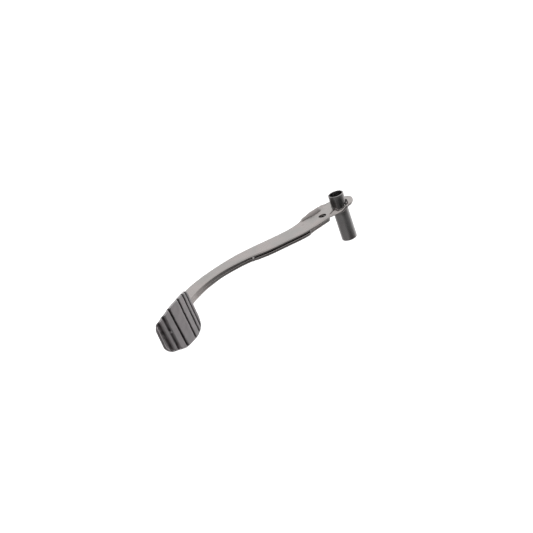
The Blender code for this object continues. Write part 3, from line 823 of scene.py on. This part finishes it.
def build_welds(weld):
    made = []

    def add(obj, *nodes):
        obj.data.materials.append(weld)
        settle(obj, "pedal", "weld_metal", *nodes)
        made.append(obj)

    up = math.radians(100.0)

    def outer_leg(a):
        d = abs((a - up + math.pi) % (2 * math.pi) - math.pi)
        return 0.7 + 0.9 * smooth(1.0 - d / 0.8)

    # Painted shade: a dark band on the outboard bead beside the tube's far side.
    def crevice_shade(a):
        return smooth(1.0 - abs(math.degrees(a) - 138.0) / 38.0)

    add(ring_bead("weld_ring_outboard", TUBE_R, 0.0, -1.0, outer_leg, 1.5, 3.0, crevice_shade),
        "weld_tube_outer")
    # Spatter lumps with painted light: positive values paint a highlight, negative ones paint shade.
    for i, (x, y, z, size, squash, painted_shading) in enumerate((
            (-3.6, -1.8, 8.7, 1.2, (1.4, 2.3, 0.8), -1.0),
            (-1.0, -0.6, 9.6, 1.2, (1.0, 1.5, 0.8), 0.9),
            (1.2, -0.3, 9.9, 1.2, (0.9, 1.6, 0.9), -0.9),
            (3.2, 0.2, 9.3, 1.2, (0.9, 1.4, 1.0), 0.8),
            (5.3, 0.5, 8.4, 1.1, (1.0, 1.3, 1.0), -0.6),
            (-2.2, 1.2, 11.2, 1.2, (1.4, 1.1, 0.8), -0.9),
            (1.4, 2.2, 11.3, 1.3, (1.3, 1.1, 0.8), 0.8))):
        add(lump("weld_spatter_%d" % i, (x, y, z), size, 3.0 + 2.7 * i, squash, painted_shading))
    add(ring_bead("weld_ring_inboard", TUBE_R, SHEET, 1.0, lambda a: 2.5, 1.6, 8.0),
        "weld_tube_inner")

    beneath = PAD_TOP_Z - 4.75
    xs = [209.0 + 3.0 * i for i in range(11)]
    arm_thick = STATIONS[-2][2]
    add(bead("weld_pad_bead_out", [(x, 0.0, beneath) for x in xs],
             lambda i: (Vector((0, -1, 0)), Vector((0, 0, -1))), 2.7, 1.7, 11.0),
        "weld_pad_outer")
    add(bead("weld_pad_bead_in", [(x, arm_thick, beneath) for x in xs],
             lambda i: (Vector((0, 1, 0)), Vector((0, 0, -1))), 2.7, 1.7, 17.0),
        "weld_pad_inner")

    ends = []
    for s in (INNER_FIRST + 0.10, INNER_FIRST + 0.05, INNER_FIRST):
        low, upper, _ = nose_edges(s)
        ends.append((low, upper))
    nose = [e[1] for e in ends] + [e[0] for e in reversed(ends)]
    middle = Vector((0.5 * (nose[2][0] + nose[3][0]) + 10.0, 0.0,
                     0.5 * (nose[2][1] + nose[3][1])))
    outs = []
    for i, (x, z) in enumerate(nose):
        a, b = nose[max(0, i - 1)], nose[min(len(nose) - 1, i + 1)]
        u = Vector((-(b[1] - a[1]), 0.0, b[0] - a[0])).normalized()
        if u.dot(Vector((x, 0.0, z)) - middle) < 0.0:
            u = -u
        outs.append(u)

    def nose_across(t):
        i = min(len(outs) - 2, int(t))
        return outs[i].lerp(outs[i + 1], t - i).normalized(), Vector((0, 1, 0))

    add(bead("weld_nose", [(x, SHEET, z) for x, z in nose], nose_across, 2.1, 1.5, 23.0),
        "weld_shell_end")
    return made


def seam_dab(weld):
    """Tack weld that closes the open seam at its front end."""
    low, up, thick, _, _, _ = station(OPEN_SEAM[1] + 0.05)
    w = math.hypot(up[0] - low[0], up[1] - low[1])
    p = place(low, up, w - 0.3, 4.4)
    # Both tacks are lifted with a painted highlight through the lump's shading value.
    obj = lump("weld_seam_tack", [c / MM for c in p], 1.3, 5.0, (2.0, 2.3, 0.95), 0.6)
    obj.data.materials.append(weld)
    settle(obj, "pedal", "weld_metal")
    low, up, thick, _, _, _ = station(OPEN_SEAM[0] - 0.06)
    w = math.hypot(up[0] - low[0], up[1] - low[1])
    p = place(low, up, w - 0.5, 4.0)
    obj = lump("weld_seam_tack_rear", [c / MM for c in p], 0.9, 9.0, (1.5, 2.6, 0.9))
    obj.data.materials.append(weld)
    settle(obj, "pedal", "weld_metal")


# -------------------------------------------------------------------- materials
class Nodes:
    def __init__(self, name):
        self.mat = bpy.data.materials.new(name)
        self.mat.use_nodes = True
        self.tree = self.mat.node_tree
        self.bsdf = self.tree.nodes["Principled BSDF"]

    def add(self, kind, **values):
        node = self.tree.nodes.new(kind)
        for key, value in values.items():
            if hasattr(node, key):
                setattr(node, key, value)
            else:
                node.inputs[key].default_value = value
        return node

    def link(self, a, b):
        self.tree.links.new(a, b)

    def noise(self, vector, scale, detail=3.0, rough=0.55, distortion=0.0):
        n = self.add("ShaderNodeTexNoise")
        n.inputs["Scale"].default_value = scale
        n.inputs["Detail"].default_value = detail
        n.inputs["Roughness"].default_value = rough
        n.inputs["Distortion"].default_value = distortion
        self.link(vector, n.inputs["Vector"])
        return n.outputs["Fac"]

    def mapped(self, vector, scale):
        m = self.add("ShaderNodeMapping")
        m.inputs["Scale"].default_value = scale
        self.link(vector, m.inputs["Vector"])
        return m.outputs["Vector"]

    def span(self, value, a, b, c, d, interpolation="LINEAR"):
        m = self.add("ShaderNodeMapRange")
        m.interpolation_type = interpolation
        for key, v in zip(("From Min", "From Max", "To Min", "To Max"), (a, b, c, d)):
            m.inputs[key].default_value = v
        self.link(value, m.inputs["Value"])
        return m.outputs["Result"]

    def math(self, op, a, b):
        m = self.add("ShaderNodeMath")
        m.operation = op
        for socket, v in zip(m.inputs, (a, b)):
            if isinstance(v, (int, float)):
                socket.default_value = v
            else:
                self.link(v, socket)
        return m.outputs[0]

    def mix(self, fac, a, b, kind="MIX"):
        m = self.add("ShaderNodeMix")
        m.data_type = "RGBA"
        m.blend_type = kind
        sockets = [s for s in m.inputs if s.enabled]
        for socket, v in zip(sockets, (fac, a, b)):
            if isinstance(v, (int, float)):
                socket.default_value = v
            elif isinstance(v, tuple):
                socket.default_value = (*v, 1.0)
            else:
                self.link(v, socket)
        return [s for s in m.outputs if s.enabled][0]

    def bump(self, height, strength, distance, normal=None):
        b = self.add("ShaderNodeBump")
        b.inputs["Strength"].default_value = strength
        b.inputs["Distance"].default_value = distance
        self.link(height, b.inputs["Height"])
        if normal is not None:
            self.link(normal, b.inputs["Normal"])
        return b.outputs["Normal"]

    def attribute(self, name):
        a = self.add("ShaderNodeAttribute")
        a.attribute_name = name
        return a.outputs["Fac"]

    def uv(self):
        u = self.add("ShaderNodeUVMap")
        u.uv_map = "run"
        return u.outputs["UV"]

    def position(self):
        return self.add("ShaderNodeTexCoord").outputs["Object"]


def plated(name, warm, cool, rough, spread=0.06, grain=(60.0, 2600.0), grain_depth=1.0,
           mottle=0.5, wear_and_highlight_lift=0.18, smudge=None, pitted=0.0, stained_and_shaded=False):
    """Satin plate: drifting warm and cool tint, fine grain that follows the
    sheet, cloudy roughness; the point attribute lifts the colour on rubbed edges and paints highlights
    where it is positive, and paints shade where it is negative."""
    m = Nodes(name)
    at = m.position()
    run = m.uv()
    cloud = m.noise(at, 55.0, 4.0, 0.6, 0.4)
    patch = m.noise(at, 170.0, 5.0, 0.6)
    grains = m.noise(m.mapped(run, (grain[0], grain[1], 1.0)), 1.0, 4.0, 0.65)
    fine = m.noise(at, 2600.0, 2.0, 0.5)
    wear_and_light = m.attribute("wear_and_painted_light")
    tint = m.mix(m.span(cloud, 0.38, 0.62, 0.0, 1.0, "SMOOTHSTEP"), warm, cool)
    dark = tuple(c * 0.86 for c in warm)
    tint = m.mix(m.math("MULTIPLY", m.span(patch, 0.5, 0.72, 0.0, 1.0, "SMOOTHSTEP"),
                        mottle), tint, dark)
    line = m.span(grains, 0.3, 0.7, 0.0, 1.0)
    tint = m.mix(m.math("MULTIPLY", line, 0.16), tint, tuple(min(1.0, c * 1.18) for c in warm))
    if smudge:
        (x, y, z), size, amount = smudge
        away = m.add("ShaderNodeVectorMath")
        away.operation = "DISTANCE"
        m.link(at, away.inputs[0])
        away.inputs[1].default_value = (x, y, z)
        wob = m.math("MULTIPLY_ADD", m.noise(at, 260.0, 3.0), 0.6 * size)
        wob.node.inputs[2].default_value = -0.3 * size
        spot = m.span(m.math("ADD", away.outputs["Value"], wob), 0.25 * size, size,
                      amount, 0.0, "SMOOTHSTEP")
        tint = m.mix(spot, tint, tuple(c * 0.5 for c in warm))
    if stained_and_shaded:
        # The outboard stub and the metal beside the welds are darkened, partly as heat stain and partly
        # as painted shade.
        split = m.add("ShaderNodeSeparateXYZ")
        m.link(at, split.inputs[0])
        y = split.outputs[1]
        near = m.math("MULTIPLY", m.span(y, -0.0135, -0.004, 0.45, 0.85, "SMOOTHSTEP"),
                      m.span(y, 0.003, 0.012, 1.0, 0.0, "SMOOTHSTEP"))
        side = m.math("MULTIPLY",
                      m.span(split.outputs[2], -0.004, 0.0075, 1.12, 0.55, "SMOOTHSTEP"),
                      m.span(split.outputs[2], 0.0077, 0.0086, 1.0, 0.25, "SMOOTHSTEP"))
        band = m.span(m.math("ADD", split.outputs[0], split.outputs[2]), 0.0107, 0.0121,
                      0.0, 0.62, "SMOOTHSTEP")
        near = m.math("MULTIPLY", near, m.math("ADD", side, band))
        streak = m.noise(m.mapped(at, (900.0, 90.0, 900.0)), 1.0, 3.0, 0.6)
        tint = m.mix(m.math("MULTIPLY", near, m.span(streak, 0.35, 0.65, 0.65, 1.12)),
                     tint, tuple(c * 0.30 for c in warm))
    # Lighter where the attribute is positive: rubbed edges, plus painted highlights on weld lumps, the
    # tacks, the pad's glint and its front strip.
    tint = m.mix(m.math("MULTIPLY", m.span(wear_and_light, 0.0, 1.0, 0.0, 1.0), wear_and_highlight_lift), tint,
                 tuple(min(1.0, c * 1.35) for c in warm))
    # Painted shade: darker where the attribute is negative, in the arm's crease, the pad's grooves and
    # the weld crevice.
    tint = m.mix(m.span(wear_and_light, -1.0, 0.0, 1.0, 0.0), tint,
                 tuple(c * 0.22 for c in warm))
    m.link(tint, m.bsdf.inputs["Base Color"])
    r = m.span(cloud, 0.3, 0.7, rough - spread, rough + spread)
    r = m.math("ADD", r, m.span(grains, 0.3, 0.7, -0.03, 0.03))
    r = m.math("ADD", r, m.span(fine, 0.3, 0.7, -0.02, 0.02))
    r = m.math("SUBTRACT", r, m.math("MULTIPLY", wear_and_light, 0.05))
    m.link(r, m.bsdf.inputs["Roughness"])
    m.bsdf.inputs["Metallic"].default_value = 1.0
    b = m.bump(grains, 0.10 * grain_depth, 0.00006)
    b = m.bump(patch, 0.14, 0.00025, b)
    b = m.bump(fine, 0.12 + 0.3 * pitted, 0.00004, b)
    if pitted:
        pits = m.add("ShaderNodeTexVoronoi")
        pits.inputs["Scale"].default_value = 900.0
        m.link(at, pits.inputs["Vector"])
        b = m.bump(m.span(pits.outputs["Distance"], 0.05, 0.4, 0.0, 1.0, "SMOOTHSTEP"),
                   0.35 * pitted, 0.0002, b)
    m.link(b, m.bsdf.inputs["Normal"])
    return m.mat


def rubber_material():
    m = Nodes("seal_rubber")
    at = m.position()
    n = m.noise(at, 900.0, 4.0, 0.6)
    dust = m.noise(at, 240.0, 3.0, 0.6)
    m.link(m.mix(m.span(dust, 0.45, 0.7, 0.0, 0.5, "SMOOTHSTEP"), (0.016, 0.016, 0.017),
                 (0.055, 0.052, 0.048)), m.bsdf.inputs["Base Color"])
    m.link(m.span(n, 0.3, 0.7, 0.55, 0.78), m.bsdf.inputs["Roughness"])
    m.link(m.bump(n, 0.25, 0.00012), m.bsdf.inputs["Normal"])
    return m.mat


def bronze_material():
    m = Nodes("sintered_bronze")
    at = m.position()
    cell = m.add("ShaderNodeTexVoronoi")
    cell.inputs["Scale"].default_value = 2400.0
    m.link(at, cell.inputs["Vector"])
    cloud = m.noise(at, 150.0, 4.0, 0.6)
    c = m.mix(m.span(cloud, 0.35, 0.65, 0.0, 1.0, "SMOOTHSTEP"), (0.44, 0.27, 0.12),
              (0.33, 0.20, 0.10))
    c = m.mix(m.span(cell.outputs["Distance"], 0.0, 0.5, 0.45, 0.0), c, (0.12, 0.07, 0.04))
    m.link(c, m.bsdf.inputs["Base Color"])
    m.link(m.span(cloud, 0.3, 0.7, 0.38, 0.55), m.bsdf.inputs["Roughness"])
    m.bsdf.inputs["Metallic"].default_value = 1.0
    m.link(m.bump(cell.outputs["Distance"], 0.25, 0.00008), m.bsdf.inputs["Normal"])
    return m.mat


ARM_WARM, ARM_COOL = (0.43, 0.395, 0.385), (0.405, 0.395, 0.385)
TREAD_WARM, TREAD_COOL = (0.42, 0.39, 0.40), (0.39, 0.38, 0.385)
TUBE_WARM, TUBE_COOL = (0.41, 0.39, 0.39), (0.39, 0.385, 0.385)
WELD_WARM, WELD_COOL = (0.38, 0.36, 0.36), (0.33, 0.325, 0.32)


# ------------------------------------------------------------------------ studio
SOFTBOX = 0.85


def build_world():
    """Light from all round, darker overhead and towards the front, as in a
    studio with white sweep behind and below and an unlit ceiling."""
    world = bpy.data.worlds.new("studio")
    bpy.context.scene.world = world
    world.use_nodes = True
    tree = world.node_tree
    tree.nodes.clear()
    link = tree.links.new

    def span(value, a, b, c, d):
        m = tree.nodes.new("ShaderNodeMapRange")
        m.interpolation_type = "SMOOTHSTEP"
        for key, v in zip(("From Min", "From Max", "To Min", "To Max"), (a, b, c, d)):
            m.inputs[key].default_value = v
        link(value, m.inputs["Value"])
        return m.outputs["Result"]

    def times(a, b):
        m = tree.nodes.new("ShaderNodeMath")
        m.operation = "MULTIPLY"
        link(a, m.inputs[0])
        link(b, m.inputs[1])
        return m.outputs[0]

    coord = tree.nodes.new("ShaderNodeTexCoord")
    split = tree.nodes.new("ShaderNodeSeparateXYZ")
    link(coord.outputs["Generated"], split.inputs[0])
    x, y, z = split.outputs
    level = times(span(x, -0.70, 0.50, 1.0, 0.27), span(z, 0.25, 0.88, 1.0, 0.22))
    box = times(span(y, 0.30, -0.10, 0.0, SOFTBOX), span(z, 0.0, 0.45, 0.0, 1.0))
    top = tree.nodes.new("ShaderNodeMath")
    top.operation = "MAXIMUM"
    link(level, top.inputs[0])
    link(box, top.inputs[1])
    level = top.outputs[0]
    shown = tree.nodes.new("ShaderNodeBackground")
    shown.inputs["Color"].default_value = (0.97, 0.97, 0.97, 1.0)
    shown.inputs["Strength"].default_value = 1.0
    lit = tree.nodes.new("ShaderNodeBackground")
    link(level, lit.inputs["Strength"])
    lit.inputs["Color"].default_value = (1.0, 0.995, 0.99, 1.0)
    path = tree.nodes.new("ShaderNodeLightPath")
    mix = tree.nodes.new("ShaderNodeMixShader")
    out = tree.nodes.new("ShaderNodeOutputWorld")
    link(path.outputs["Is Camera Ray"], mix.inputs[0])
    link(lit.outputs[0], mix.inputs[1])
    link(shown.outputs[0], mix.inputs[2])
    link(mix.outputs[0], out.inputs["Surface"])


def build_floor():
    bm = bmesh.new()
    bmesh.ops.create_grid(bm, x_segments=24, y_segments=24, size=14.0)
    for v in bm.verts:
        v.co.z = -1.1
    mesh = bpy.data.meshes.new("floor")
    bm.to_mesh(mesh)
    bm.free()
    floor = bpy.data.objects.new("floor", mesh)
    bpy.context.collection.objects.link(floor)
    m = Nodes("floor_paper")
    at = m.position()
    n = m.noise(at, 1.3, 3.0)
    m.link(m.mix(m.span(n, 0.35, 0.65, 0.0, 1.0, "SMOOTHSTEP"), (0.90, 0.90, 0.90),
                 (0.88, 0.88, 0.885)), m.bsdf.inputs["Base Color"])
    m.bsdf.inputs["Roughness"].default_value = 0.9
    m.bsdf.inputs["Specular IOR Level"].default_value = 0.0
    m.link(m.bump(m.noise(at, 40.0, 3.0), 0.03, 0.002), m.bsdf.inputs["Normal"])
    mesh.materials.append(m.mat)
    floor.visible_glossy = False


def build_lights():
    def light(name, kind, energy, at, aim, size=None, glossy=False):
        data = bpy.data.lights.new(name, kind)
        data.energy = energy
        if kind == "AREA":
            data.shape = "DISK"
            data.size = size
        else:
            data.angle = math.radians(size)
        obj = bpy.data.objects.new(name, data)
        obj.location = at
        obj.rotation_mode = "QUATERNION"
        obj.rotation_quaternion = (Vector(aim) - Vector(at)).to_track_quat("-Z", "Y")
        obj.visible_glossy = glossy
        bpy.context.collection.objects.link(obj)

    light("overhead", "SUN", 2.9, (0.0, 0.0, 3.0), (0.0, 0.0, 0.0), 40.0)


def build_camera():
    rows = ((-0.5045684, 0.30792853, 0.80659206),
            (0.50959968, 0.86035727, -0.00967112),
            (-0.69693536, 0.40615931, -0.59102938))
    shift = Vector((80.87385906, -69.39805697, 1563.93074644)) * MM
    turn = Matrix(rows)
    place_at = -(turn.transposed() @ shift)
    cam = bpy.data.cameras.new("camera")
    cam.sensor_width = 36.0
    cam.lens = 36.0 * 1400.0 / 533.0
    cam.clip_start, cam.clip_end = 0.05, 60.0
    obj = bpy.data.objects.new("camera", cam)
    world = Matrix.Identity(4)
    for i in range(3):
        world[i][0] = rows[0][i]
        world[i][1] = -rows[1][i]
        world[i][2] = -rows[2][i]
        world[i][3] = place_at[i]
    obj.matrix_world = world
    bpy.context.collection.objects.link(obj)
    bpy.context.scene.camera = obj


# -------------------------------------------------------------------------- main
arm_steel = plated("plated_arm", ARM_WARM, ARM_COOL, 0.30, 0.05, (45.0, 2200.0), 1.0,
                   0.35, 0.22, ((0.0459, 0.0, -0.0216), 0.0022, 0.45))
tube_steel = plated("plated_tube", TUBE_WARM, TUBE_COOL, 0.27, 0.06, (2600.0, 60.0), 1.6,
                    0.6, 0.30, None, 0.0, True)
tread_steel = plated("plated_tread", TREAD_WARM, TREAD_COOL, 0.34, 0.05, (60.0, 1900.0),
                     1.0, 0.5, 0.12, None, 0.35)
weld_steel = plated("weld_metal", WELD_WARM, WELD_COOL, 0.36, 0.07, (400.0, 400.0), 0.6,
                    0.8, 0.25, None, 0.7)
zinc_steel = plated("collar_zinc", (0.52, 0.53, 0.56), (0.56, 0.56, 0.55), 0.36, 0.06,
                    (60.0, 2600.0), 1.2, 0.3, 0.2)
bronze = bronze_material()
rubber = rubber_material()

build_arm(arm_steel)
build_pad(tread_steel)
build_pivot(tube_steel, bronze, rubber, zinc_steel)
build_welds(weld_steel)
seam_dab(weld_steel)
for node in ("weld_seam_upper_rear", "weld_seam_upper_front", "weld_seam_lower"):
    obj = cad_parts[node]
    obj.data.materials.clear()
    obj.data.materials.append(weld_steel)

build_world()
build_floor()
build_lights()
build_camera()
scene = bpy.context.scene
scene.view_settings.view_transform = "Standard"
scene.view_settings.look = "None"
